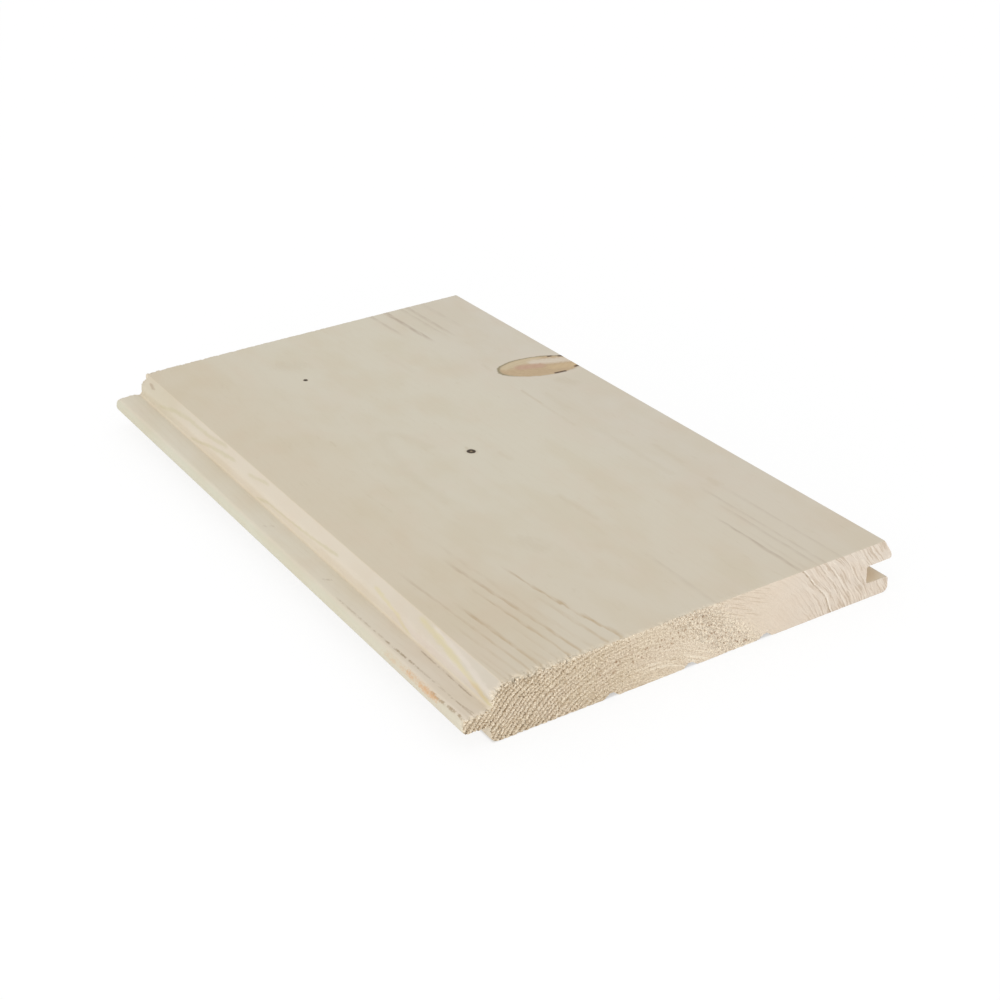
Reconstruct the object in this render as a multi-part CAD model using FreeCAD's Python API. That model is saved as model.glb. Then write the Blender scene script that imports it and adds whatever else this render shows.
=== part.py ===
import FreeCAD, Part
import math
import os

# Planed softwood wall board: a tongue along its left edge, a groove along its right edge,
# bevelled face arrises and three relief grooves in the back.
# Millimetres. X runs across the board from tongue to groove, Y along the grain, Z up from back to face.
# The origin is the middle of the back, on the overall width and length.

length = 245.0
overall_width = 146.0
thickness = 17.5

# Tongue: its length is measured from the face shoulder to the nose
tongue_length = 9.0
tongue_root_thickness = 5.4
tongue_tip_thickness = 4.7
tongue_nose_radius = 2.1
tongue_root_radius = 0.9
shoulder_depth = 6.8

# Fit of the tongue in the next board's groove
tongue_side_gap = 0.15
tongue_end_gap = 0.3
lip_corner_gap = 0.2
back_joint_gap = 0.2

# Groove: the lower lip stops short of the upper one, so that the face joint closes first
lower_lip_setback = 0.8
groove_corner_radius = 0.7
lower_lip_radius = 1.7

# Face arrises: a broad bevel on the tongue side, a steeper one on the groove side
tongue_bevel_run = 3.6
tongue_bevel_drop = 3.1
tongue_bevel_radius = 2.2
groove_bevel_run = 3.0
groove_bevel_drop = 4.9
groove_bevel_radius = 2.0
face_arris_radius = 0.5

# Back: rounded arris on the tongue side and relief grooves that keep the board from cupping
back_arris_radius = 3.3
relief_count = 3
relief_pitch = 26.5
relief_mouth_width = 4.8
relief_floor_width = 1.2
relief_depth = 1.4
relief_floor_radius = 0.5
relief_mouth_radius = 0.3

# A corner's rounding leaves this share of its shorter side to the corner at the other end
largest_share_of_side = 0.48


def rounded_outline(corners):
    """Closed wire in the XZ plane through (x, z, radius) corners, each rounded by a tangent arc."""
    count = len(corners)
    spans = []
    for index, (x, z, radius) in enumerate(corners):
        here = FreeCAD.Vector(x, 0.0, z)
        before = FreeCAD.Vector(corners[index - 1][0], 0.0, corners[index - 1][1])
        after = FreeCAD.Vector(corners[(index + 1) % count][0], 0.0, corners[(index + 1) % count][1])
        arrive = here - before
        leave = after - here
        shorter_side = min(arrive.Length, leave.Length)
        half_turn = arrive.getAngle(leave) / 2.0
        setback = min(radius * math.tan(half_turn), largest_share_of_side * shorter_side)
        arrive.normalize()
        leave.normalize()
        start = here - arrive * setback
        end = here + leave * setback
        # The middle of the arc lies on the line from the corner to the arc's centre
        inward = leave - arrive
        inward.normalize()
        fitted_radius = setback / math.tan(half_turn)
        to_arc = fitted_radius * (1.0 / math.cos(half_turn) - 1.0)
        spans.append((start, here + inward * to_arc, end))
    edges = []
    for index, (start, middle, end) in enumerate(spans):
        edges.append(Part.Arc(start, middle, end).toShape())
        next_start = spans[(index + 1) % count][0]
        edges.append(Part.makeLine(end, next_start))
    return Part.Wire(edges)


def relief_corners():
    """Corners of the relief grooves, left to right along the back."""
    corners = []
    for index in range(relief_count):
        centre = (index - (relief_count - 1) / 2.0) * relief_pitch
        corners.append((centre - relief_mouth_width / 2.0, 0.0, relief_mouth_radius))
        corners.append((centre - relief_floor_width / 2.0, relief_depth, relief_floor_radius))
        corners.append((centre + relief_floor_width / 2.0, relief_depth, relief_floor_radius))
        corners.append((centre + relief_mouth_width / 2.0, 0.0, relief_mouth_radius))
    return corners


# Places across the board
nose_x = -overall_width / 2.0
shoulder_x = nose_x + tongue_length
face_left_x = shoulder_x + tongue_bevel_run
upper_lip_x = overall_width / 2.0
face_right_x = upper_lip_x - groove_bevel_run
lower_lip_x = upper_lip_x - lower_lip_setback
groove_back_x = upper_lip_x - tongue_length - tongue_end_gap
back_shoulder_x = shoulder_x - lower_lip_setback + back_joint_gap

# Heights above the back
tongue_top_z = thickness - shoulder_depth
tongue_bottom_z = tongue_top_z - tongue_root_thickness
tongue_middle_z = (tongue_top_z + tongue_bottom_z) / 2.0
tip_top_z = tongue_middle_z + tongue_tip_thickness / 2.0
tip_bottom_z = tongue_middle_z - tongue_tip_thickness / 2.0
groove_top_z = tongue_top_z + tongue_side_gap
groove_bottom_z = tongue_bottom_z - tongue_side_gap
lip_mouth_radius = tongue_root_radius + lip_corner_gap

back = [(back_shoulder_x, 0.0, back_arris_radius)] + relief_corners()
groove_edge = [
    (lower_lip_x, 0.0, lower_lip_radius),
    (lower_lip_x, groove_bottom_z, lip_mouth_radius),
    (groove_back_x, groove_bottom_z, groove_corner_radius),
    (groove_back_x, groove_top_z, groove_corner_radius),
    (upper_lip_x, groove_top_z, lip_mouth_radius),
    (upper_lip_x, thickness - groove_bevel_drop, groove_bevel_radius),
]
face = [
    (face_right_x, thickness, face_arris_radius),
    (face_left_x, thickness, face_arris_radius),
]
tongue_edge = [
    (shoulder_x, thickness - tongue_bevel_drop, tongue_bevel_radius),
    (shoulder_x, tongue_top_z, tongue_root_radius),
    (nose_x, tip_top_z, tongue_nose_radius),
    (nose_x, tip_bottom_z, tongue_nose_radius),
    (back_shoulder_x, tongue_bottom_z, tongue_root_radius),
]

section = Part.Face(rounded_outline(back + groove_edge + face + tongue_edge))
section.translate(FreeCAD.Vector(0.0, -length / 2.0, 0.0))
board = section.extrude(FreeCAD.Vector(0.0, length, 0.0))

os.makedirs("parts", exist_ok=True)
board.exportStep("parts/board.step")
print("board: valid", board.isValid(), "solids", len(board.Solids), "volume cm3", round(board.Volume / 1000.0, 2))
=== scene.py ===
import math
import bmesh
import bpy
import numpy as np
from mathutils import Matrix, Vector
from mathutils.geometry import delaunay_2d_cdt
from mathutils.kdtree import KDTree


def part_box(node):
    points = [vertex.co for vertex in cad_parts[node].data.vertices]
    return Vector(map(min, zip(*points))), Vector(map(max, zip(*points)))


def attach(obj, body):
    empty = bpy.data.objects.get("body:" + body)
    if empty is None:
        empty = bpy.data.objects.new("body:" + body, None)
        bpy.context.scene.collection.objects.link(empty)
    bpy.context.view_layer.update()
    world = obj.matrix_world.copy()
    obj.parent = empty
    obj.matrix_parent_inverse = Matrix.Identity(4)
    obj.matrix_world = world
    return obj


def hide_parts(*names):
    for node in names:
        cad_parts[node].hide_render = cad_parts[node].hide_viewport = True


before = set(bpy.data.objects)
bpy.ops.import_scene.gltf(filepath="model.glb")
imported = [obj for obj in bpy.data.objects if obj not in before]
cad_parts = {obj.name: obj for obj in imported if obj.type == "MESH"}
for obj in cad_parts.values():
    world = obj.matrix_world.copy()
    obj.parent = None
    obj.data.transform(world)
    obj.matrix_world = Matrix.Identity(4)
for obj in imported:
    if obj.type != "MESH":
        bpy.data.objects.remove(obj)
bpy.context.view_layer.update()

# Lengths are in metres for meshes, lamps and the camera. The wood's figure is laid out in millimetres.
MM = 0.001
low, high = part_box("board")
face_z = high.z / MM
half_length = high.y / MM
nose_x = low.x / MM

# Where the looks change across the section: the tongue's root and the bevel's upper arris
tongue_root_x = -64.7
bevel_top_x = -60.55

# The tree: yearly rings round a pith that runs below the board's middle and leans along its length
pith_x = -16.0
pith_z = -30.0
pith_lean = 2.2
flatness = 1.09
ring_width = 1.40

# The noise that tears the ends: where it starts, and how far from it each end reads it
tear_seed = 4.0
end_apart = 17.0

# Dark ring lines on the face, by the point where each meets the board's near or far end:
# x there, how dark, width, the y where it fades out
near_lines = (
    (-22.6, 0.58, 1.45, -74.0), (-27.2, 0.20, 1.10, -92.0), (-27.2, 0.30, 0.80, -113.0),
    (-32.0, 0.12, 0.90, -48.0), (-35.3, 0.48, 0.90, -62.0), (-39.0, 0.50, 0.80, -80.0),
    (-42.4, 0.17, 0.70, -102.0), (-45.4, 0.14, 0.60, -110.0), (-48.1, 0.58, 0.90, -84.0),
    (-51.4, 0.34, 0.65, -60.0), (-54.6, 0.20, 0.70, -92.0), (-57.1, 0.16, 0.50, -108.0),
    (-58.7, 0.16, 0.50, -106.0), (8.5, 0.14, 1.20, -90.0), (38.9, 0.50, 0.85, -86.0),
    (41.2, 0.10, 0.70, -98.0), (45.1, 0.26, 0.90, -80.0), (47.6, 0.24, 0.70, -67.0),
    (53.4, 0.20, 0.80, -68.0),
)
far_lines = (
    (31.9, 0.34, 1.10, 100.0), (38.2, 0.64, 1.25, 89.0), (44.9, 0.22, 1.00, 89.0),
    (47.6, 0.36, 1.10, 90.0), (54.4, 0.14, 1.60, 94.0),
)

# Soft smears on the face: the points (x, y) each passes, half width, how dark
smears = (
    (((-17.5, 99.0), (-13.0, 95.0)), 6.5, 0.45), (((-15.5, -62.0), (-14.5, -68.0)), 5.0, 0.45),
    (((-7.0, 9.0), (-10.0, 21.0), (-14.5, 27.0), (-18.5, 18.0), (-22.0, 0.0), (-22.0, -28.0)), 3.4, 0.24),
    (((41.6, 29.5), (41.3, 16.0)), 0.9, 0.70), (((41.0, 15.0), (40.6, -5.0)), 1.1, 0.30),
    (((-31.6, 31.5), (-31.8, 27.5)), 0.8, 0.45), (((9.5, -8.0), (10.0, -14.0)), 1.9, 0.32),
    (((8.5, -44.0), (9.5, -63.0)), 2.0, 0.30), (((58.0, 29.0), (60.0, 24.0)), 3.6, 0.50),
    (((47.0, 22.0), (46.0, 8.0)), 2.2, 0.24), (((45.5, -12.0), (45.5, -52.0)), 1.9, 0.26),
    (((53.5, -32.0), (53.0, -48.0)), 1.5, 0.30), (((42.5, 57.0), (42.0, 50.0)), 1.2, 0.40),
    (((53.0, -62.0), (52.5, -66.0)), 2.2, 0.40), (((2.6, 1.8), (2.6, 0.8)), 0.9, 0.60),
    (((18.0, 85.0), (19.0, 66.0)), 2.0, 0.18), (((34.0, 78.0), (30.0, 52.0)), 2.4, 0.12),
)

# Streaks on the tongue-side shoulder and bevel: the points (y, z) each passes, half width, strength, colour
olive = (0.480, 0.435, 0.250, 1.0)
yellow = (0.600, 0.525, 0.255, 1.0)
orange = (0.560, 0.390, 0.190, 1.0)
pale = (0.690, 0.620, 0.545, 1.0)
rosy = (0.650, 0.580, 0.520, 1.0)
brown = (0.300, 0.200, 0.120, 1.0)
streaks = (
    (((-80.0, 12.6), (-110.0, 13.0)), 1.7, 0.60, rosy),
    (((-90.0, 16.9), (-108.0, 15.9), (-121.0, 14.4)), 0.55, 0.55, pale),
    (((100.0, 13.4), (90.0, 15.3), (79.0, 16.0), (62.0, 16.1), (51.0, 16.9)), 0.50, 0.40, olive),
    (((72.0, 11.7), (58.0, 14.5), (42.0, 15.8)), 0.50, 0.45, olive),
    (((19.0, 11.2), (12.5, 13.0), (-2.0, 13.4), (-25.0, 14.6), (-33.0, 15.1)), 0.45, 0.45, olive),
    (((28.0, 15.6), (18.0, 16.6)), 0.40, 0.35, olive),
    (((-59.0, 15.4), (-72.0, 14.1), (-78.0, 11.3)), 0.45, 0.42, yellow),
    (((-84.0, 16.6), (-100.0, 15.5), (-113.0, 14.0), (-121.0, 11.6)), 0.70, 0.50, yellow),
    (((-114.5, 13.4), (-117.5, 12.6)), 0.9, 0.28, orange),
    (((113.5, 16.2), (111.5, 15.9)), 0.40, 0.50, brown),
)

# Dark dashed lines on the tongue's top and root: the points (y, x) each passes, half width, strength
tongue_dashes = (
    (((-49.0, -71.1), (-121.0, -69.3)), 0.42, 0.40), (((-78.0, -70.5), (-94.0, -69.9)), 0.50, 0.60),
    (((-88.0, -65.2), (-114.0, -65.2)), 0.34, 0.60), (((-106.0, -72.3), (-121.0, -71.9)), 0.55, 0.80),
    (((-112.0, -69.8), (-121.0, -68.6)), 0.35, 0.40), (((-37.2, -69.5), (-39.0, -67.8)), 0.40, 0.35),
    (((3.0, -70.0), (1.0, -67.5)), 0.50, 0.20),
)

# Resin on the tongue's nose: the points (y, z) each patch passes, strength
nose_patches = (
    (((-83.0, 9.3), (-93.0, 9.2)), 0.22), (((-95.0, 9.4), (-107.0, 9.6)), 0.42),
    (((-103.0, 8.9), (-105.0, 9.0)), 0.40),
)

# Knots: where each branch meets the face, which way it grows, its radius, a dead knot's ring of bark
knots = {
    "oval": {"at": (58.4, 43.5), "grows": (0.792, -0.243, 0.559), "radius": 8.75},
    "small": {"at": (2.45, -1.8), "grows": (0.10, -0.45, 0.89), "radius": 1.50, "bark": 1.05},
    "pin": {"at": (-16.0, 82.1), "grows": (-0.1, -0.55, 0.83), "radius": 0.80, "bark": 0.75},
}

# The oval knot's coloured patches: the points (x, y) each passes, half width, strength, colour
knot_patches = (
    (((47.5, 50.0), (60.0, 50.5)), 4.2, 0.9, (0.590, 0.485, 0.320, 1.0)),
    (((58.5, 47.6), (71.0, 42.6)), 3.6, 1.0, (0.665, 0.575, 0.460, 1.0)),
    (((62.0, 40.0), (70.0, 37.5)), 3.2, 0.9, (0.575, 0.430, 0.255, 1.0)),
    (((52.0, 46.4), (58.5, 44.0)), 3.2, 1.0, (0.520, 0.345, 0.240, 1.0)),
)

# Its bark is thickest round this tip, and has come out in these holes, painted as dark spots of shade: points
# (x, y), half width
knot_tip = ((46.4, 51.4), (43.2, 49.0), (44.2, 45.6), (47.6, 42.6))
knot_hole_shades = (
    (((59.6, 35.1), (63.2, 34.6)), 0.75), (((68.6, 36.0), (70.6, 36.2)), 0.8),
    (((65.6, 49.2), (66.3, 49.0)), 0.7), (((69.0, 47.2), (70.0, 46.7)), 0.8),
)

# Scattered open pores on the near end, painted as dark dots of shade, lie along this path of points (x, z)
pore_path = ((-31.0, 8.6), (-8.5, 10.8), (-2.0, 12.5), (3.0, 14.5), (5.2, 11.0), (9.0, 6.0), (19.0, 2.5))


class Flow:
    """A value that varies over a shape or surface. Sums on it read as arithmetic and become nodes."""

    def __init__(self, network, socket):
        self.network = network
        self.socket = socket

    def other(self, name):
        """Another output of the same node."""
        return Flow(self.network, self.socket.node.outputs[name])

    def sum(self, operation, first, second=None):
        values = {0: first}
        if second is not None:
            values[1] = second
        return self.network.node("ShaderNodeMath", {"operation": operation}, values)

    def __add__(self, other):
        return self.sum("ADD", self, other)

    def __radd__(self, other):
        return self.sum("ADD", other, self)

    def __sub__(self, other):
        return self.sum("SUBTRACT", self, other)

    def __rsub__(self, other):
        return self.sum("SUBTRACT", other, self)

    def __mul__(self, other):
        return self.sum("MULTIPLY", self, other)

    def __rmul__(self, other):
        return self.sum("MULTIPLY", other, self)

    def __truediv__(self, other):
        return self.sum("DIVIDE", self, other)

    def __pow__(self, other):
        return self.sum("POWER", self, other)

    def __neg__(self):
        return self.sum("MULTIPLY", self, -1.0)


class Network:
    """A node tree being made: every node comes from node()."""

    def __init__(self, tree):
        self.tree = tree
        tree.nodes.clear()

    def node(self, kind, settings=None, values=None, output=0):
        """A node with its settings, then its sockets' values or links. A list links several to one socket."""
        made = self.tree.nodes.new(kind)
        for key, value in (settings or {}).items():
            setattr(made, key, value)
        for key, value in (values or {}).items():
            for part in value if isinstance(value, list) else [value]:
                if isinstance(part, Flow):
                    self.tree.links.new(part.socket, made.inputs[key])
                else:
                    made.inputs[key].default_value = part
        if not made.outputs:
            return made
        return Flow(self, made.outputs[output])

    def vector(self, operation, values, output=0):
        """A sum on vectors. Its second output is the plain number."""
        return self.node("ShaderNodeVectorMath", {"operation": operation}, values, output)

    def split(self, vector, scale=1.0):
        """The three parts of a vector, scaled."""
        scaled = self.vector("SCALE", {0: vector, "Scale": scale})
        first = self.node("ShaderNodeSeparateXYZ", None, {0: scaled})
        return first, first.other("Y"), first.other("Z")

    def join(self, x, y, z):
        return self.node("ShaderNodeCombineXYZ", None, {0: x, 1: y, 2: z})

    def noise(self, x, y, z, detail=2.0, roughness=0.5):
        """Soft noise about 0.5, one cell to a unit of the three values."""
        values = {"Vector": self.join(x, y, z), "Scale": 1.0, "Detail": detail, "Roughness": roughness}
        return self.node("ShaderNodeTexNoise", None, values)


class Shape(Network):
    """A Geometry Nodes tree being made."""

    def stored(self, geometry, name, value, domain="POINT", kind="FLOAT"):
        """The geometry with a value written on it under a name."""
        values = {"Geometry": geometry, "Name": name, "Value": value}
        settings = {"data_type": kind, "domain": domain}
        return self.node("GeometryNodeStoreNamedAttribute", settings, values)

    def named(self, name, kind="FLOAT"):
        """A value that the geometry carries under a name."""
        return self.node("GeometryNodeInputNamedAttribute", {"data_type": kind}, {"Name": name})


class Finish(Network):
    """A material being made."""

    def __init__(self, name):
        self.material = bpy.data.materials.new(name)
        self.material.use_nodes = True
        super().__init__(self.material.node_tree)

    def blend(self, factor, first, second):
        """The first colour where factor is 0, the second where it is 1."""
        values = {0: factor, 6: first, 7: second}
        return self.node("ShaderNodeMix", {"data_type": "RGBA", "clamp_factor": True}, values, output=2)

    def tint(self, amount, base, by):
        """The base colour multiplied by another where amount is 1."""
        settings = {"data_type": "RGBA", "blend_type": "MULTIPLY", "clamp_factor": True}
        return self.node("ShaderNodeMix", settings, {0: amount, 6: base, 7: by}, output=2)

    def place(self):
        """Object coordinates in millimetres, as three values."""
        return self.split(self.node("ShaderNodeTexCoord", output=3), 1.0 / MM)

    def attribute(self, name):
        return self.node("ShaderNodeAttribute", {"attribute_name": name}, None, output=2)

    def surface(self, colour, roughness, height):
        """Ends the tree: height is the fine relief in metres."""
        normal = self.node("ShaderNodeBump", None, {"Strength": 1.0, "Distance": 1.0, "Height": height})
        values = {"Base Color": colour, "Roughness": roughness, "Specular IOR Level": 0.32, "Normal": normal}
        shader = self.node("ShaderNodeBsdfPrincipled", None, values)
        self.node("ShaderNodeOutputMaterial", None, {"Surface": shader})
        return self.material


def root(value):
    """Square root of a flow or of a plain number."""
    if isinstance(value, Flow):
        return value.sum("SQRT", value)
    return np.sqrt(value)


def sine(value):
    """Sine of a flow or of a plain number."""
    if isinstance(value, Flow):
        return value.sum("SINE", value)
    return np.sin(value)


def whole(value):
    """The whole number below a flow."""
    return value.sum("FLOOR", value)


def clamped(value):
    """A flow held between 0 and 1."""
    return value.network.node("ShaderNodeClamp", None, {0: value})


def smaller(first, second):
    return first.sum("MINIMUM", first, second)


def larger(first, second):
    return first.sum("MAXIMUM", first, second)


def side_of(value):
    """-1 below nought and 1 above it."""
    return value.sum("SIGN", value)


def ease(value, start, end):
    """0 before start and 1 after end, with a soft rise between, for a flow or a plain number."""
    if isinstance(value, Flow):
        values = {"Value": value, "From Min": start, "From Max": end}
        settings = {"interpolation_type": "SMOOTHSTEP", "clamp": False}
        return value.network.node("ShaderNodeMapRange", settings, values)
    part = np.clip((value - start) / (end - start), 0.0, 1.0)
    return part * part * (3.0 - 2.0 * part)


def past(value, place, soft):
    """0 before a place and 1 past it, rising over soft on either side."""
    return ease(value, place - soft, place + soft)


def band(value, start, end, soft):
    """1 between start and end, fading over soft on either side."""
    return past(value, start, soft) * (1.0 - past(value, end, soft))


def near_path(network, point, path, squeeze=1.0):
    """Distance of a flat point from the line through the path's points, whose first parts are squeezed."""
    nearest = None
    for start, end in zip(path, path[1:]):
        from_x, from_y, to_x, to_y = start[0] * squeeze, start[1], end[0] * squeeze, end[1]
        span = (to_x - from_x, to_y - from_y, 0.0)
        size = span[0] ** 2 + span[1] ** 2
        off = network.vector("SUBTRACT", {0: point, 1: (from_x, from_y, 0.0)})
        along = clamped(network.vector("DOT_PRODUCT", {0: off, 1: (span[0] / size, span[1] / size, 0.0)}, 1))
        foot = network.vector("SCALE", {0: span, "Scale": along})
        gap = network.vector("DISTANCE", {0: off, 1: foot}, 1)
        nearest = gap if nearest is None else smaller(nearest, gap)
    return nearest


def from_pith(x, y, z):
    """Distance from the pith in millimetres. The pith lies further from the tongue at the near end."""
    across = x - pith_x + ease(y, -150.0, -40.0) * pith_lean
    up = z - pith_z
    bend = sine(y * 0.0167 + 1.99) * 1.2
    ripple = sine(up * 0.62 + across * 0.21) * 0.16 + sine(across * 0.37 - up * 0.4 + 2.0) * 0.14
    return root(across * across * (1.0 / flatness) + up * up) - bend + ripple


def ring_place(network, x, y, z):
    """Distance from the pith, wavering as the rings do: the same in the shape and in the materials."""
    wander = network.noise(x * 0.45, y * 0.04, z * 0.45, 2.0)
    jitter = network.noise(x * 1.7, y * 0.2, z * 1.7, 1.0)
    return from_pith(x, y, z) + (wander - 0.5) * 0.40 + (jitter - 0.5) * 0.25


def ring_edge(distance, late=0.35):
    """Late wood of each yearly ring: 0 in the early wood, rising from late, then falling sharply."""
    count = distance / ring_width + sine(distance * 0.83) * 0.22
    part = count - whole(count)
    return ease(part, late, 0.88) * (1.0 - ease(part, 0.92, 1.0))


def outline_spacing(x, z):
    """Widest gap between outline points: fine where the near end is torn, coarse along the back."""
    if z < 1.0 and x > -50.0:
        return 0.60
    return 0.33 if x < 0.0 else 0.42


def section_outline():
    """The board's section as (x, z) points in millimetres, read from the frame and divided finely."""
    source = bmesh.new()
    source.from_mesh(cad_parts["board"].data)
    bmesh.ops.remove_doubles(source, verts=source.verts, dist=0.001 * MM)
    near = {v for v in source.verts if abs(v.co.y - low.y) < 0.01 * MM}
    beside = {v: [] for v in near}
    for edge in source.edges:
        first, second = edge.verts
        if first in near and second in near:
            caps = [f for f in edge.link_faces if all(v in near for v in f.verts)]
            if len(caps) == 1:
                beside[first].append(second)
                beside[second].append(first)
    start = min(near, key=lambda v: (v.co.x, v.co.z))
    loop = [start]
    step = beside[start][0]
    while step is not start:
        onward = [v for v in beside[step] if v is not loop[-1]]
        loop.append(step)
        step = onward[0]
    corners = np.array([(v.co.x / MM, v.co.z / MM) for v in loop])
    source.free()
    following = np.roll(corners, -1, axis=0)
    area = np.sum(corners[:, 0] * following[:, 1] - following[:, 0] * corners[:, 1])
    if area < 0:
        corners = corners[::-1]
        following = np.roll(corners, -1, axis=0)
    points = []
    for here, after in zip(corners, following):
        middle = (here + after) / 2.0
        pieces = max(1, math.ceil(np.linalg.norm(after - here) / outline_spacing(*middle)))
        for index in range(pieces):
            points.append(here + (after - here) * index / pieces)
    return np.array(points)


def inward_directions(outline):
    """Unit directions into the wood from each point of a counter-clockwise outline, eased round corners."""
    along = np.roll(outline, -1, axis=0) - np.roll(outline, 1, axis=0)
    inward = np.stack([-along[:, 1], along[:, 0]], axis=1)
    inward /= np.linalg.norm(inward, axis=1, keepdims=True)
    rounds_of_easing = 12
    for _ in range(rounds_of_easing):
        inward = np.roll(inward, 1, axis=0) + 2.0 * inward + np.roll(inward, -1, axis=0)
        inward /= np.linalg.norm(inward, axis=1, keepdims=True)
    return inward


def end_fill(outline, spacings):
    """Points on triangular lattices inside the outline; spacings are (from x, to x, spacing)."""
    # Shares of the spacing: a lattice's rows apart, room at its right edge, room along the outline
    row_share, edge_share, rim_share = 0.866, 0.3, 0.55
    z_low, z_high = outline[:, 1].min(), outline[:, 1].max()
    kept = []
    for x_low, x_high, spacing in spacings:
        rows = []
        for row in range(int((z_high - z_low) / (spacing * row_share)) + 1):
            x = np.arange(x_low + spacing * 0.5 * (row % 2), x_high - spacing * edge_share, spacing)
            rows.append(np.stack([x, np.full_like(x, z_low + row * spacing * row_share)], axis=1))
        grid = np.concatenate(rows)
        inside = np.zeros(len(grid), bool)
        nearest = np.full(len(grid), np.inf)
        for here, after in zip(outline, np.roll(outline, -1, axis=0)):
            gap = (grid[:, 0] - here[0]) ** 2 + (grid[:, 1] - here[1]) ** 2
            nearest = np.minimum(nearest, gap)
            if here[1] != after[1]:
                crosses = (grid[:, 1] < here[1]) != (grid[:, 1] < after[1])
                at = here[0] + (grid[:, 1] - here[1]) / (after[1] - here[1]) * (after[0] - here[0])
                inside ^= crosses & (grid[:, 0] < at)
        kept.append(grid[inside & (nearest > (spacing * rim_share) ** 2)])
    return np.concatenate(kept)


def end_sheets():
    """The near and far end sheets, drawn flat with the board's height downward. Each point carries its end,
    the rim point it is nearest and the way into the wood from there."""
    outline = section_outline()
    inward = inward_directions(outline)
    around = len(outline)
    rim_tree = KDTree(around)
    for index, (x, z) in enumerate(outline):
        rim_tree.insert((x, z, 0.0), index)
    rim_tree.balance()
    near_spacings = ((nose_x, -20.0, 0.22), (-20.0, 28.0, 0.32), (28.0, -nose_x, 0.40))
    far_spacings = ((nose_x, -nose_x, 0.45),)
    rim_edges = [(index, (index + 1) % around) for index in range(around)]
    points, nearest, ends, faces = [], [], [], []
    for end, spacings in ((-1.0, near_spacings), (1.0, far_spacings)):
        base = len(points)
        fill = end_fill(outline, spacings)
        sheet = np.concatenate([outline, fill])
        made = delaunay_2d_cdt([Vector(p) for p in sheet], rim_edges, [], 1, 1e-5)
        for triangle in made[2]:
            corners = [base + made[3][corner][0] for corner in triangle]
            faces.append(corners if end < 0.0 else corners[::-1])
        points.extend(sheet.tolist())
        nearest.extend(range(around))
        nearest.extend(rim_tree.find((x, z, 0.0))[1] for x, z in fill)
        ends.extend([end] * len(sheet))
    mesh = bpy.data.meshes.new("end_sheets")
    mesh.from_pydata([(x * MM, -z * MM, 0.0) for x, z in points], [], faces)
    level = np.zeros((len(points), 1))
    for name, values in (("rim", outline[nearest]), ("inward", inward[nearest])):
        stored = mesh.attributes.new(name, "FLOAT_VECTOR", "POINT")
        stored.data.foreach_set("vector", np.hstack([values[:, :1], level, values[:, 1:]]).ravel())
    stored = mesh.attributes.new("end", "FLOAT", "POINT")
    stored.data.foreach_set("value", ends)
    return mesh


def coarseness(x):
    """How deeply the saw tore the end grain: most beside the tongue, least right of the middle."""
    return 1.0 - ease(x, -54.0, -18.0) * 0.50 - ease(x, 4.0, 30.0) * 0.28


def ring_contrast(x):
    """How clearly the rings show on the sawn ends across the board."""
    return 1.25 - ease(x, -60.0, -34.0) * 0.58 - ease(x, -30.0, -6.0) * 0.50 - ease(x, 0.0, 20.0) * 0.12


def fuzzy_band(x, z, side):
    """1 on the band of torn fibres that crosses the near end from the face, right of the middle."""
    return band(x + (z - 8.0) * 1.15, 2.0, 18.0, 4.0) * clamped(-side)


def torn_wood(network, rings, x, z, side, layer):
    """How deep the saw tore an end, in millimetres, and how much painted shade its hollows get.
    The same in the shape and in the material."""
    # Degrees round the pith, nearly: the troughs along a ring break up by these
    around = (x - pith_x) / (z - pith_z) * 56.0
    lumps = network.noise(rings * 1.9, around, layer, 1.0)
    pockets = network.noise(x * 2.4, z * 2.4, layer + 9.0, 1.0)
    fuzz = network.noise(x * 4.4, z * 4.4, layer + 13.0, 1.0)
    torn = coarseness(x)
    fibrous = fuzzy_band(x, z, side)
    trough = ring_edge(rings) * smaller(ring_contrast(x), 1.0)
    gap = trough * ease(lumps, 0.34, 0.58)
    pocket = ease(pockets * 0.55 + lumps * 0.45, 0.51, 0.62)
    depth = torn * (0.42 * gap + 0.34 * pocket) + 0.26 * fuzz * (0.30 + torn + fibrous)
    depth = depth + 0.36 * fibrous * ease(pockets, 0.45, 0.62)
    # Painted shade in the hollows, darkest in the ring troughs and pockets
    shade = torn * (0.80 * gap + 0.55 * pocket * (0.40 + 0.60 * trough))
    speckled = 0.30 + 0.35 * ease(x, -52.0, -34.0) + 0.35 * ease(x, -38.0, -24.0)
    shade = shade + (ease(fuzz, 0.36, 0.62) - 0.5) * speckled * torn
    return depth, clamped(shade * (1.0 - ease(x, -16.0, 4.0) * 0.5))


def swept_sides(build, sheets, end):
    """The board's sides: the near sheet's rim swept along the grain in short steps at the ends, each longer
    toward the middle."""
    half = sheets.other("Length") * 0.5
    steps = sheets.other("Steps to Middle")
    growth = sheets.other("Step Growth")
    index = build.node("GeometryNodeInputIndex")
    from_end = half * (growth ** smaller(index, steps * 2.0 - index) - 1.0) / (growth ** steps - 1.0)
    path_y = side_of(index - steps) * (half - from_end)
    ends = {"Start": (0.0, 0.0, 0.0), "End": (0.0, 1.0, 0.0)}
    path = build.node("GeometryNodeCurvePrimitiveLine", None, ends)
    values = {"Curve": path, "Count": steps * 2.0 + 1.0}
    path = build.node("GeometryNodeResampleCurve", {"mode": "COUNT"}, values)
    values = {"Geometry": path, "Position": build.join(0.0, path_y * MM, 0.0)}
    path = build.node("GeometryNodeSetPosition", None, values)
    near_rim = (2.0 - build.node("GeometryNodeInputMeshEdgeNeighbors")) * clamped(-end)
    profile = build.node("GeometryNodeMeshToCurve", None, {"Mesh": sheets, "Selection": near_rim})
    sides = build.node("GeometryNodeCurveToMesh", None, {"Curve": path, "Profile Curve": profile})
    return build.node("GeometryNodeFlipFaces", None, {"Mesh": sides})


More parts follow.
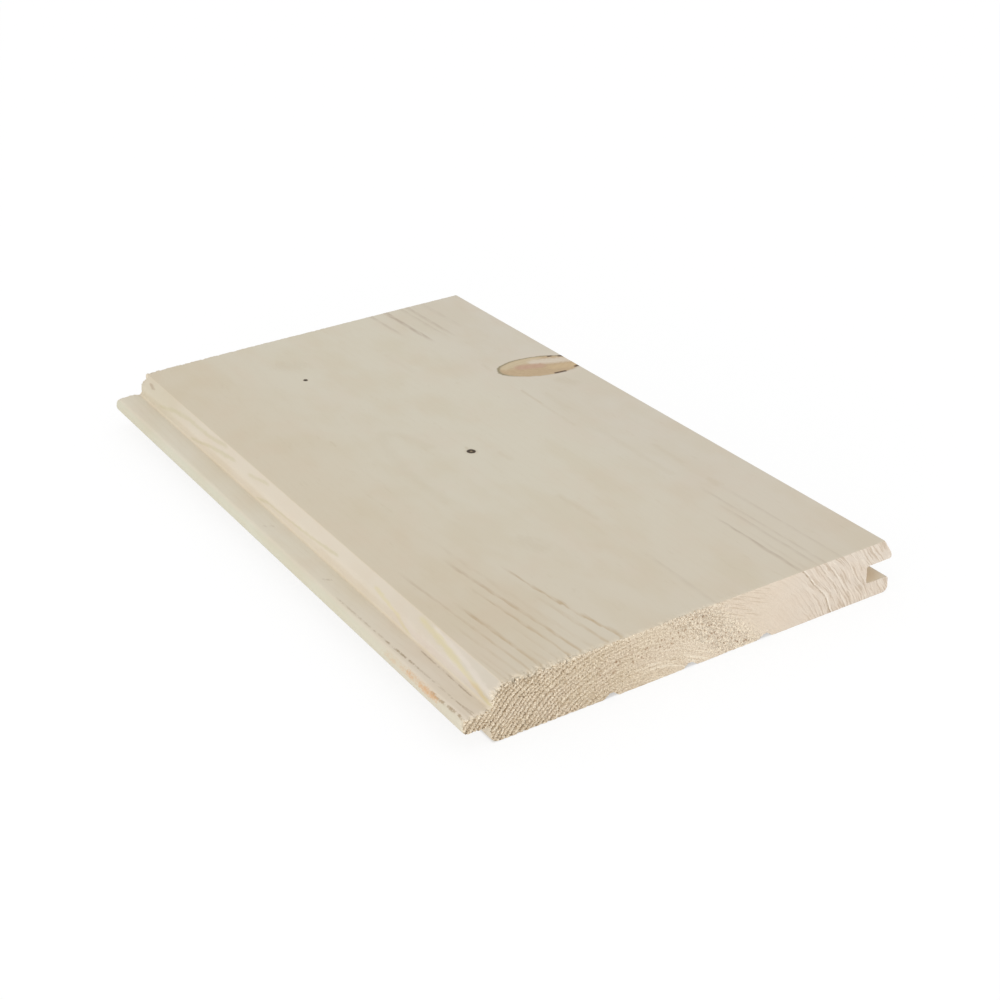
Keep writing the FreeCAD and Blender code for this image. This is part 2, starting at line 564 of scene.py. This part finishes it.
def chip_loss(build, sheets, rim_x, rim_z, reach, side, layer):
    """How far fibres have broken away from the rim, in millimetres: more on the face arris and beside
    the tongue. Reach is the distance from the sawn end."""
    broken = ease(build.noise(rim_x * 0.45, rim_z * 0.45, layer, 1.0), 0.38, 0.66)
    ragged = ease(build.noise(rim_x * 1.5, rim_z * 1.5, layer + 5.0, 1.0), 0.36, 0.64)
    teeth = ease(build.noise(rim_x * 2.9, rim_z * 2.9, layer + reach * 1.3, 1.0), 0.34, 0.66)
    coarse = coarseness(rim_x) * (0.30 + 0.70 * ease(rim_z, 1.0, 9.0))
    coarse = coarse * (0.65 + 0.35 * ease(rim_x, -66.0, -62.0)) * (1.0 - 0.30 * clamped(side))
    chip = coarse * (0.30 + 0.40 * broken + 0.40 * ragged)
    worn = clamped(1.0 - reach / (0.20 + 1.7 * chip)) ** 0.7
    loss = (0.05 + chip * coarse) * worn * (0.35 + 1.1 * teeth)
    # The far end's shoulder is knocked off beside the tongue
    corner = near_path(build, build.join(rim_x, rim_z, 0.0), ((-63.9, 12.4), (-62.4, 15.8)))
    knocked = 1.0 - ease(corner, 0.6, 3.2)
    knocked = knocked * clamped(side) * clamped(1.0 - reach / 3.5) * (0.75 + 0.4 * teeth)
    return larger(loss * sheets.other("Chip Depth"), knocked * 1.7)


def board_tree(planed, sawn):
    """Geometry Nodes that sweep the section along the grain, close it with the end sheets and tear the ends.
    Returns the tree and its inputs' identifiers by name."""
    tree = bpy.data.node_groups.new("sawn_board", "GeometryNodeTree")
    build = Shape(tree)
    tree.interface.new_socket("End Sheets", in_out="INPUT", socket_type="NodeSocketGeometry")
    identifiers = {}
    for name in ("Length", "Steps to Middle", "Step Growth", "Chip Depth", "Tear Depth", "Seed"):
        socket = tree.interface.new_socket(name, in_out="INPUT", socket_type="NodeSocketFloat")
        identifiers[name] = socket.identifier
    tree.interface.new_socket("Board", in_out="OUTPUT", socket_type="NodeSocketGeometry")
    sheets = build.node("NodeGroupInput")
    half = sheets.other("Length") * 0.5

    # The sides, then the ends: the sheets stood up at either end and marked as sawn
    end = build.named("end")
    sides = swept_sides(build, sheets, end)
    flat_x, flat_y, _ = build.split(build.node("GeometryNodeInputPosition"))
    values = {"Geometry": sheets, "Position": build.join(flat_x, end * half * MM, -flat_y)}
    caps = build.node("GeometryNodeSetPosition", None, values)
    caps = build.stored(caps, "sawn_face", 1.0, "FACE")
    board = build.node("GeometryNodeJoinGeometry", None, {"Geometry": [sides, caps]})
    board = build.node("GeometryNodeMergeByDistance", None, {"Geometry": board, "Distance": 0.01 * MM})

    # Where each point lies: across, along, up, how far from its sawn end and how far inside the rim
    x, y, z = build.split(build.node("GeometryNodeInputPosition"), 1.0 / MM)
    rim_x, _, rim_z = build.split(build.named("rim", "FLOAT_VECTOR"))
    side = side_of(y)
    reach = half - side * y
    from_rim = root((x - rim_x) * (x - rim_x) + (z - rim_z) * (z - rim_z))
    layer = sheets.other("Seed") + side * end_apart

    # Chips push the rim inward, and the wood beside it less. Tears and saw marks push the ends inward.
    loss = chip_loss(build, sheets, rim_x, rim_z, reach, side, layer)
    shift = loss * (1.0 - clamped(from_rim / 2.2))
    depth, _ = torn_wood(build, ring_place(build, x, y, z), x, z, side, layer)
    kerf = build.noise(x * 0.25, z * 0.9 + x * 0.1, layer + 21.0, 0.0)
    sunk = larger(depth + 0.10 * kerf - 0.10, 0.0) * sheets.other("Tear Depth")
    sunk = sunk * (1.0 - clamped(reach / 6.0))
    inward_x, _, inward_z = build.split(build.named("inward", "FLOAT_VECTOR"))
    offset = build.join(inward_x * shift * MM, -side * sunk * MM, inward_z * shift * MM)
    board = build.stored(board, "chipped", clamped(loss * 1.8))
    board = build.stored(board, "from_rim", from_rim)
    board = build.node("GeometryNodeSetPosition", None, {"Geometry": board, "Offset": offset})

    # A crisp line where the sawn ends meet the planed sides
    sawn_face = build.named("sawn_face")
    on_rim = build.node("FunctionNodeCompare", {"operation": "EQUAL"}, {0: sawn_face, 1: 0.5, "Epsilon": 0.25})
    board = build.node("GeometryNodeSetShadeSmooth", None, {"Geometry": board})
    board = build.stored(board, "sharp_edge", on_rim, "EDGE", "BOOLEAN")
    board = build.node("GeometryNodeRealizeInstances", None, {"Geometry": board})
    board = build.node("GeometryNodeSetMaterial", None, {"Geometry": board, "Material": planed})
    values = {"Geometry": board, "Selection": sawn_face, "Material": sawn}
    board = build.node("GeometryNodeSetMaterial", None, values)
    build.node("NodeGroupOutput", None, {0: board})
    return tree, identifiers


def make_board(planed, sawn):
    """The board as one closed mesh, made plain from its Geometry Nodes."""
    tree, identifiers = board_tree(planed, sawn)
    board = bpy.data.objects.new("moulded_board", end_sheets())
    bpy.context.scene.collection.objects.link(board)
    modifier = board.modifiers.new("sawn_board", "NODES")
    modifier.node_group = tree
    sizes = {"Length": 2.0 * half_length, "Steps to Middle": 19.0, "Step Growth": 1.3, "Chip Depth": 1.0,
             "Tear Depth": 1.0, "Seed": tear_seed}
    for name, value in sizes.items():
        modifier[identifiers[name]] = value
    depsgraph = bpy.context.evaluated_depsgraph_get()
    shaped = board.evaluated_get(depsgraph)
    mesh = bpy.data.meshes.new_from_object(shaped, preserve_all_data_layers=True, depsgraph=depsgraph)
    board.modifiers.remove(modifier)
    # The planed wood is the first material and the sawn wood the second
    mesh.materials.clear()
    mesh.materials.append(planed)
    mesh.materials.append(sawn)
    sawn_face = np.zeros(len(mesh.polygons))
    mesh.attributes["sawn_face"].data.foreach_get("value", sawn_face)
    mesh.polygons.foreach_set("material_index", sawn_face.astype(np.int32))
    board.data = mesh
    return board


def dark_lines(distance, x, y, lines, end):
    """Dark ring lines on the face: each darkens slowly outward from the pith, then stops sharply."""
    right = past(x, pith_x, 2.0)
    sums = {"left": 0.0, "right": 0.0}
    step = 0.2
    for end_x, strength, width, fades in lines:
        here = from_pith(end_x, end, face_z)
        beside = from_pith(end_x + step, end, face_z)
        half = abs(beside - here) / step * width * 0.6
        profile = ease(distance, here - half * 2.4, here - half * 0.2)
        profile = profile * (1.0 - ease(distance, here + half * 0.3, here + half * 1.2))
        if end < 0:
            shown = strength - ease(y, fades - 8.0, fades + 6.0) * strength
        else:
            shown = ease(y, fades - 6.0, fades + 8.0) * strength
        side = "left" if end_x < pith_x else "right"
        sums[side] = sums[side] + profile * shown
    return sums["left"] * (1.0 - right) + sums["right"] * right


def shoulder_streaks(finish, colour, y, z, jitter, broken):
    """Soft streaks of ring figure drawn over the tongue-side shoulder and bevel."""
    squeeze = 0.2
    at = finish.join(y * squeeze, z, 0.0)
    for points, width, strength, shade in streaks:
        gap = near_path(finish, at, points, squeeze)
        mark = 1.0 - ease(gap + (jitter - 0.5) * width * 1.6, width * 0.2, width * 1.3)
        colour = finish.blend(mark * (0.5 + broken * 0.8) * strength, colour, shade)
    return colour


def tongue_marks(finish, colour, x, y, z, on_tongue):
    """Dashed dark lines on the tongue's top and root near the end, and orange resin on its nose."""
    dash = finish.noise(x * 0.9, y * 0.42, z * 0.9, 2.0, 0.7)
    dots = finish.noise(x * 2.2, y * 1.6, z * 2.2, 1.0)
    squeeze = 0.5
    at = finish.join(y * squeeze, x, 0.0)
    for points, width, strength in tongue_dashes:
        gap = near_path(finish, at, points, squeeze) + (dots - 0.5) * width
        mark = (1.0 - ease(gap, width * 0.2, width)) * ease(dash, 0.36, 0.58) * on_tongue
        colour = finish.blend(mark * strength, colour, (0.330, 0.245, 0.150, 1.0))
    nose = (1.0 - ease(x, -72.2, -71.2)) * ease(z, 7.6, 8.6)
    squeeze = 0.25
    at = finish.join(y * squeeze, z, 0.0)
    for points, strength in nose_patches:
        gap = near_path(finish, at, points, squeeze) + (dots - 0.5) * 1.4
        mark = (1.0 - ease(gap, 0.2, 1.1)) * (0.35 + ease(dash, 0.35, 0.6)) * nose
        colour = finish.blend(mark * strength, colour, (0.590, 0.330, 0.155, 1.0))
    return colour


def planed_tone(finish, x, y, z, to_near, on_tongue, on_shoulder):
    """Bare planed wood, changing slowly in tone across and along the board."""
    blotch = finish.noise(x * 0.07, y * 0.035, z * 0.09, 3.0)
    cloud = finish.noise(x * 0.09 + 5.0, y * 0.06, z * 0.1, 3.0)
    to_left = 1.0 - ease(x, -58.0, -12.0)
    to_right = ease(x, 20.0, 62.0)
    to_far = ease(y, 55.0, 110.0)
    tone = finish.blend(to_left, (0.645, 0.595, 0.482, 1.0), (0.634, 0.560, 0.432, 1.0))
    tone = finish.blend(to_right * 0.8, tone, (0.630, 0.576, 0.484, 1.0))
    tone = finish.blend(to_near * 0.5, tone, (0.632, 0.554, 0.440, 1.0))
    tone = finish.blend(on_shoulder, tone, (0.640, 0.570, 0.465, 1.0))
    tone = finish.tint(on_shoulder * to_far, tone, (0.94, 0.95, 0.91, 1.0))
    tone = finish.blend(on_tongue, tone, (0.672, 0.618, 0.505, 1.0))
    tone = finish.tint(on_tongue * to_near, tone, (1.0, 0.96, 0.96, 1.0))
    tone = finish.tint(on_shoulder * to_near, tone, (0.95, 0.96, 1.0, 1.0))
    tone = finish.tint(on_shoulder * (1.0 - ease(y, -120.0, -96.0)), tone, (0.95, 0.955, 0.94, 1.0))
    tone = finish.tint(1.0 - ease(x, -72.7, -71.4), tone, (0.88, 0.92, 0.90, 1.0))
    tone = finish.tint(ease(blotch, 0.38, 0.68) * 0.8, tone, (0.97, 0.95, 0.91, 1.0))
    return finish.tint(ease(cloud, 0.45, 0.70) * 0.6, tone, (1.0, 0.97, 0.96, 1.0))


def planed_softwood():
    """Planed surface: ring lines, fine fibre, knots and a slow change of tone across the board."""
    finish = Finish("planed_softwood")
    x, y, z = finish.place()
    distance = ring_place(finish, x, y, z)
    jitter = finish.noise(x * 1.3, y * 0.35, z * 1.3, 2.0)
    fibre = finish.noise(x * 8.0, y * 0.16, z * 8.0, 3.0, 0.6)
    fine_fibre = finish.noise(x * 28.0, y * 0.7, z * 28.0, 2.0, 0.6)
    broken = finish.noise(x * 0.8, y * 0.16, z * 0.8, 3.0)
    on_face = ease(z, face_z - 1.4, face_z - 0.5) * band(x, -61.0, 70.5, 0.6)
    on_tongue = 1.0 - past(x, tongue_root_x, 0.2)
    on_shoulder = (1.0 - past(x, bevel_top_x, 0.25)) * ease(z, 10.9, 11.4)
    to_near = 1.0 - ease(y, -115.0, -20.0)
    tone = planed_tone(finish, x, y, z, to_near, on_tongue, on_shoulder)

    # Ring figure: faint rings on the edges, dark lines on the face that sway a little
    rings = ring_edge(distance, 0.60) * (0.05 + 0.12 * ease(broken, 0.5, 0.75))
    rings = rings * (1.0 - on_shoulder) * (1.0 - on_face * 0.5)
    sway = finish.noise(x * 0.35, y * 0.13, z * 0.35, 2.0)
    swayed = distance + (sway - 0.5) * 0.38
    marks = dark_lines(swayed, x, y, near_lines, -half_length)
    marks = marks + dark_lines(swayed, x, y, far_lines, half_length)
    marks = clamped(marks * on_face * (0.35 + 1.0 * ease(broken, 0.28, 0.66)) * (0.70 + fibre * 0.6))
    near_left = (1.0 - ease(x, -14.0, 0.0)) * to_near
    line_tone = finish.blend(near_left, (0.450, 0.370, 0.285, 1.0), (0.490, 0.370, 0.225, 1.0))

    # Smears and scattered flecks on the face
    smear = 0.0
    at = finish.join(x, y, 0.0)
    for points, width, strength in smears:
        gap = near_path(finish, at, points) + (jitter - 0.5) * width * 1.2
        smear = smear + (1.0 - ease(gap, 0.0, width)) * strength
    fleck = ease(finish.noise(x * 0.42, y * 0.07, z * 0.4, 1.0), 0.60, 0.72) * ease(jitter, 0.48, 0.66)
    smear = clamped((smear + fleck * 0.28) * on_face)

    colour = finish.blend(rings, tone, (0.52, 0.43, 0.29, 1.0))
    streaked = shoulder_streaks(finish, colour, y, z, jitter, broken)
    colour = finish.blend(on_shoulder, colour, streaked)
    colour = finish.blend(smear * 0.35, colour, (0.460, 0.360, 0.215, 1.0))
    colour = finish.blend(marks, colour, line_tone)
    colour = tongue_marks(finish, colour, x, y, z, on_tongue)
    colour = finish.tint(ease(fibre, 0.42, 0.75) * 0.22, colour, (0.95, 0.93, 0.89, 1.0))
    colour = finish.tint(ease(fine_fibre, 0.55, 0.8) * 0.22, colour, (0.93, 0.91, 0.88, 1.0))

    # The groove's lining, painted pale and warm as painted bounce light, with an orange spot of it near the
    # end
    in_groove = ease(x, 63.4, 63.7) * band(z, 5.2, 10.9, 0.15)
    orange_spot = 1.0 - ease(near_path(finish, at, ((66.5, -120.5), (70.0, -115.0))), 1.0, 4.5)
    painted_bounce_lining = finish.blend(orange_spot * 0.6, (0.970, 0.860, 0.700, 1.0), (0.930, 0.680, 0.390, 1.0))
    colour = finish.blend(in_groove, colour, painted_bounce_lining)

    colour = oval_knot_colour(finish, colour, x, y, z)
    for name in ("small", "pin"):
        colour = dead_knot_colour(finish, knots[name], colour, x, y, z)

    # Torn fibres along the sawn ends
    speck = finish.noise(x * 3.4, y * 2.6, z * 3.4, 2.0, 0.7)
    torn = finish.blend(ease(speck, 0.40, 0.60), (0.610, 0.510, 0.370, 1.0), (0.830, 0.745, 0.600, 1.0))
    colour = finish.blend(finish.attribute("chipped") * 0.85, colour, torn)
    relief = (marks * 0.5 + fibre * 0.6 + fine_fibre * 0.5) * (0.03 * MM)
    return finish.surface(colour, 0.56 + fine_fibre * 0.12, relief)


def knot_distance(knot, x, y, z):
    """Distance from a branch's middle line, as a share of its radius."""
    at_x, at_y = knot["at"]
    dx, dy, dz = knot["grows"]
    size = math.sqrt(dx * dx + dy * dy + dz * dz)
    px = x - at_x
    py = y - at_y
    pz = z - face_z
    along = (px * dx + py * dy + pz * dz) / size
    return root(px * px + py * py + pz * pz - along * along) / knot["radius"]


def oval_knot_colour(finish, base, x, y, z):
    """The large live knot cut slantwise: olive sapwood, a red heart, a pale flank and a thin bark line."""
    wobble = finish.noise(x * 0.6, y * 0.6, z * 0.6, 2.0)
    grain = finish.noise(x * 0.8 + y * 0.25, y * 2.0 - x * 0.6, z, 3.0)
    off = knot_distance(knots["oval"], x, y, z) + (wobble - 0.5) * 0.10
    inside = 1.0 - ease(off, 0.93, 0.98)
    shift = (grain - 0.5) * 2.4
    body = finish.blend(ease(grain, 0.35, 0.65) * 0.6, (0.530, 0.395, 0.240, 1.0), (0.485, 0.350, 0.215, 1.0))
    at = finish.join(x, y, 0.0)
    for points, width, amount, shade in knot_patches:
        near = 1.0 - ease(near_path(finish, at, points) + shift, width * 0.25, width)
        body = finish.blend(near * amount, body, shade)
    rings = sine(off * 34.0 + grain * 5.0) * 0.5 + 0.5
    body = finish.tint(rings * 0.35, body, (0.90, 0.87, 0.82, 1.0))
    bark = band(off, 0.95, 1.02, 0.03)
    upper = ease(y + x * 0.3, 60.4, 64.0)
    tip = 1.0 - ease(near_path(finish, at, knot_tip), 0.8, 3.0)
    drawn = clamped(upper * 0.75 + tip * 0.9 + 0.20)
    halo = band(off, 0.9, 1.25, 0.12) * 0.4
    colour = finish.blend(halo, base, (0.650, 0.570, 0.470, 1.0))
    colour = finish.blend(inside, colour, body)
    colour = finish.blend(bark * drawn * 0.8, colour, (0.200, 0.148, 0.050, 1.0))
    on_top = ease(z, face_z - 3.0, face_z - 1.5)
    # Painted shade: dark spots in the holes where bark has come out, which the shape does not hollow
    for points, width in knot_hole_shades:
        gap = near_path(finish, at, points) + shift * 0.15
        mark = (1.0 - ease(gap, width * 0.3, width * 1.2)) * on_top
        colour = finish.blend(mark * 0.90, colour, (0.066, 0.028, 0.011, 1.0))
    return colour


def dead_knot_colour(finish, knot, base, x, y, z):
    """A small dead knot: a thick dark bark ring round a paler middle."""
    wobble = finish.noise(x * 1.4, y * 1.4, z * 1.4, 1.0)
    off = knot_distance(knot, x, y, z) + (wobble - 0.5) * 0.25
    inside = 1.0 - ease(off, 0.85, 1.05)
    share = knot["bark"] / knot["radius"]
    middle = 1.0 - ease(off, (1.0 - share) * 0.4, (1.0 - share) * 1.6)
    halo = (1.0 - ease(off, 1.0, 1.7)) * 0.35
    colour = finish.blend(halo, base, (0.520, 0.440, 0.310, 1.0))
    body = finish.blend(middle * 0.75, (0.045, 0.026, 0.012, 1.0), (0.300, 0.230, 0.130, 1.0))
    return finish.blend(inside, colour, body)


def strong_rings(finish, colour, rings, x, broken):
    """The rings whose lines show on the face beside the groove, dark, each with a painted highlight on the
    raised edge just outside it.
    """
    shown = ease(x, 15.0, 30.0) * (0.5 + ease(broken, 0.35, 0.6) * 0.7)
    for end_x, strength, _, _ in near_lines:
        if end_x > 20.0:
            off = rings - from_pith(end_x, -half_length, face_z)
            line = (1.0 - ease(off * off, 0.0, 0.06)) * shown
            # Painted highlight on the raised edge just outside each dark line
            ridge_highlight = (1.0 - ease((off - 0.45) * (off - 0.45), 0.0, 0.06)) * shown
            colour = finish.blend(ridge_highlight * strength * 1.5, colour, (0.880, 0.810, 0.710, 1.0))
            colour = finish.blend(line * strength * 1.6, colour, (0.42, 0.32, 0.22, 1.0))
    return colour


def sawn_end_grain():
    """Rough sawn end: rings as lighter and darker bands, painted shade in the hollows where fibres tore out,
    and light fibres and painted highlights on raised edges.
    """
    finish = Finish("sawn_end_grain")
    x, y, z = finish.place()
    side = side_of(y)
    rings = ring_place(finish, x, y, z)
    _, pit_shade = torn_wood(finish, rings, x, z, side, tear_seed + side * end_apart)
    speck = finish.noise(x * 3.0, y * 2.0, z * 3.0, 2.0, 0.7)
    grit = finish.noise(x * 7.0, y * 3.0, z * 7.0, 1.0, 0.5)
    patch = finish.noise(x * 0.12, y * 0.1, z * 0.2, 2.0)
    broken = finish.noise(x * 0.35, y * 0.1, z * 0.5, 2.0)
    to_middle = ease(x, -32.0, 18.0)
    to_lips = ease(x, 18.0, 50.0)
    coarse = clamped(1.0 - ease(x, -10.0, 26.0) * 0.92)
    fuzzy = fuzzy_band(x, z, side)
    rough = clamped(coarse + fuzzy)
    # Light fibres, with painted highlights on the raised points of the torn end
    light_fibres_and_highlights = (0.900, 0.800, 0.630, 1.0)
    fresh = finish.blend(to_middle, (0.640, 0.530, 0.385, 1.0), (0.735, 0.632, 0.510, 1.0))
    fresh = finish.blend(to_lips, fresh, (0.718, 0.632, 0.538, 1.0))
    fresh = finish.blend(ease(patch, 0.4, 0.7) * 0.4, fresh, (0.715, 0.600, 0.485, 1.0))
    fresh = finish.blend(ease(speck + fuzzy * 0.03, 0.50, 0.61) * rough, fresh, light_fibres_and_highlights)

    # Late wood: broad dark bands on the left, faint streaks in the smooth middle, fine ones by the groove
    edge = ring_edge(rings) * ring_contrast(x) * (0.6 + ease(broken, 0.35, 0.65) * 0.6)
    colour = finish.blend(edge * 0.36, fresh, (0.47, 0.35, 0.21, 1.0))
    smooth = from_pith(x, y, z) + (broken - 0.5) * 0.8
    around = (x - pith_x) / (z - pith_z) * 2.5
    stripe = finish.noise(smooth * 2.1, around, 3.0, 1.0, 0.4)
    faint = 0.16 + 0.84 * ease(x, 34.0, 50.0)
    stripes = (1.0 - ease(stripe, 0.36, 0.47)) * (0.5 + ease(speck, 0.40, 0.60) * 0.5)
    colour = finish.blend(stripes * faint * 0.76, colour, (0.50, 0.39, 0.28, 1.0))
    # Painted highlight: a bright glint beside each stripe
    glint = ease(stripe, 0.54, 0.64) * (0.35 + ease(speck, 0.46, 0.58) * 0.65)
    colour = finish.blend(glint * faint * 0.60, colour, (0.890, 0.810, 0.700, 1.0))
    scratch = finish.noise(z * 2.4 + x * 1.05, x * 0.16, 9.0, 1.0)
    scratched = band(x, 4.0, 26.0, 5.0) * ease(z, 6.0, 11.0) * (1.0 - ease(scratch, 0.36, 0.46)) * 0.50
    colour = finish.blend(scratched, colour, (0.50, 0.39, 0.27, 1.0))
    thread = band(x, -14.0, 8.0, 4.0) * (1.0 - ease(z, 6.0, 10.0)) * ease(stripe, 0.55, 0.61)
    colour = finish.blend(thread * 0.7, colour, (0.880, 0.790, 0.640, 1.0))
    colour = strong_rings(finish, colour, rings, x, broken)

    # Painted shade in the torn pits, light frayed fibres along the face arris, and painted shade in scattered
    # open pores along the torn band and left of it
    cells = {"Vector": finish.join(x * 0.62, z * 0.62, 0.0), "Scale": 1.0, "Randomness": 1.0}
    spots = finish.node("ShaderNodeTexVoronoi", {"voronoi_dimensions": "2D"}, cells)
    from_path = near_path(finish, finish.join(x, z, 0.0), pore_path)
    # Painted shade: dark dots inside the open pores
    pore_shade = (1.0 - ease(spots, 0.14, 0.26)) * (1.0 - ease(from_path, 1.2, 3.2)) * clamped(-side)
    pore_shade = pore_shade * ease(broken, 0.40, 0.55)
    frayed = (1.0 - ease(finish.attribute("from_rim"), 0.25, 1.7)) * ease(z, 6.0, 12.0)
    colour = finish.blend(pit_shade * (1.0 - frayed * 0.70) * 0.95, colour, (0.235, 0.150, 0.075, 1.0))
    colour = finish.blend(frayed * ease(speck, 0.44, 0.58) * 0.55 * rough, colour, (0.860, 0.770, 0.620, 1.0))
    colour = finish.blend(pore_shade * 0.68, colour, (0.32, 0.19, 0.105, 1.0))
    dimmed = (1.0 - ease(speck, 0.32, 0.45)) * (coarse + fuzzy * 0.4)
    colour = finish.tint(dimmed, colour, (0.62, 0.54, 0.43, 1.0))
    colour = finish.tint(ease(grit, 0.55, 0.8) * 0.4, colour, (0.86, 0.81, 0.74, 1.0))
    relief = (speck + grit * 0.5) * (0.16 * MM)
    return finish.surface(colour, 0.82, relief)


def make_floor():
    """A white floor that keeps a soft shadow of the board. It is whitened less under the board, where only
    the relief grooves show it."""
    whitened, kept_under_board = 0.80, 0.36
    finish = Finish("studio_floor")
    lit = finish.node("ShaderNodeBsdfDiffuse", None, {"Color": (0.86, 0.86, 0.86, 1.0)})
    white = finish.node("ShaderNodeEmission", None, {"Color": (1.0, 1.0, 1.0, 1.0), "Strength": 1.05})
    rays = finish.node("ShaderNodeLightPath")
    seen = clamped(rays.other("Is Camera Ray") + rays.other("Is Glossy Ray"))
    x, y, _ = finish.place()
    covered = band(x, -63.8, 71.8, 0.4) * band(y, -half_length + 0.4, half_length - 0.4, 0.4)
    values = {0: seen * (whitened - covered * kept_under_board), 1: lit, 2: white}
    mixed = finish.node("ShaderNodeMixShader", None, values)
    finish.node("ShaderNodeOutputMaterial", None, {"Surface": mixed})
    mesh = bpy.data.meshes.new("floor")
    reach = 4.0
    level = low.z - 0.05 * MM
    corners = [(-reach, -reach, level), (reach, -reach, level), (reach, reach, level), (-reach, reach, level)]
    mesh.from_pydata(corners, [], [(0, 1, 2, 3)])
    mesh.materials.append(finish.material)
    floor = bpy.data.objects.new("floor", mesh)
    bpy.context.scene.collection.objects.link(floor)


def make_light():
    """Even white surroundings and one low soft lamp from the front left."""
    world = bpy.data.worlds.new("studio")
    world.use_nodes = True
    sky = Network(world.node_tree)
    white = (1.0, 1.0, 1.0, 1.0)
    around = sky.node("ShaderNodeBackground", None, {"Color": white, "Strength": 0.93})
    backdrop = sky.node("ShaderNodeBackground", None, {"Color": white, "Strength": 1.0})
    rays = sky.node("ShaderNodeLightPath")
    mixed = sky.node("ShaderNodeMixShader", None, {0: rays.other("Is Camera Ray"), 1: around, 2: backdrop})
    sky.node("ShaderNodeOutputWorld", None, {"Surface": mixed})
    bpy.context.scene.world = world

    lamp = bpy.data.lights.new("softbox", "AREA")
    lamp.shape = "RECTANGLE"
    lamp.size = 1.5
    lamp.size_y = 0.34
    lamp.energy = 16.0
    softbox = bpy.data.objects.new("softbox", lamp)
    softbox.location = (-1.45, -1.25, 0.19)
    aim = Vector((0.0, 0.0, 0.01)) - softbox.location
    softbox.rotation_euler = aim.to_track_quat("-Z", "Y").to_euler()
    bpy.context.scene.collection.objects.link(softbox)


def make_camera():
    """The view from above the near tongue corner."""
    place = Vector((-253.43, -448.64, 268.56)) * MM
    heading = math.radians(30.770)
    tilt = math.radians(27.608)
    roll = math.radians(-2.131)
    level = math.cos(tilt)
    forward = Vector((math.sin(heading) * level, math.cos(heading) * level, -math.sin(tilt)))
    level_right = Vector((math.cos(heading), -math.sin(heading), 0.0))
    level_up = level_right.cross(forward)
    right = level_right * math.cos(roll) + level_up * math.sin(roll)
    up = level_up * math.cos(roll) - level_right * math.sin(roll)
    lens = bpy.data.cameras.new("camera")
    lens.lens = 63.589
    lens.sensor_width = 36.0
    lens.clip_start = 0.01
    camera = bpy.data.objects.new("camera", lens)
    turn = Matrix((right, up, -forward)).transposed()
    camera.matrix_world = Matrix.Translation(place) @ turn.to_4x4()
    bpy.context.scene.collection.objects.link(camera)
    bpy.context.scene.camera = camera


board = make_board(planed_softwood(), sawn_end_grain())
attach(board, "root")
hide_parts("board")
make_floor()
make_light()
make_camera()
bpy.context.scene.view_settings.view_transform = "Standard"
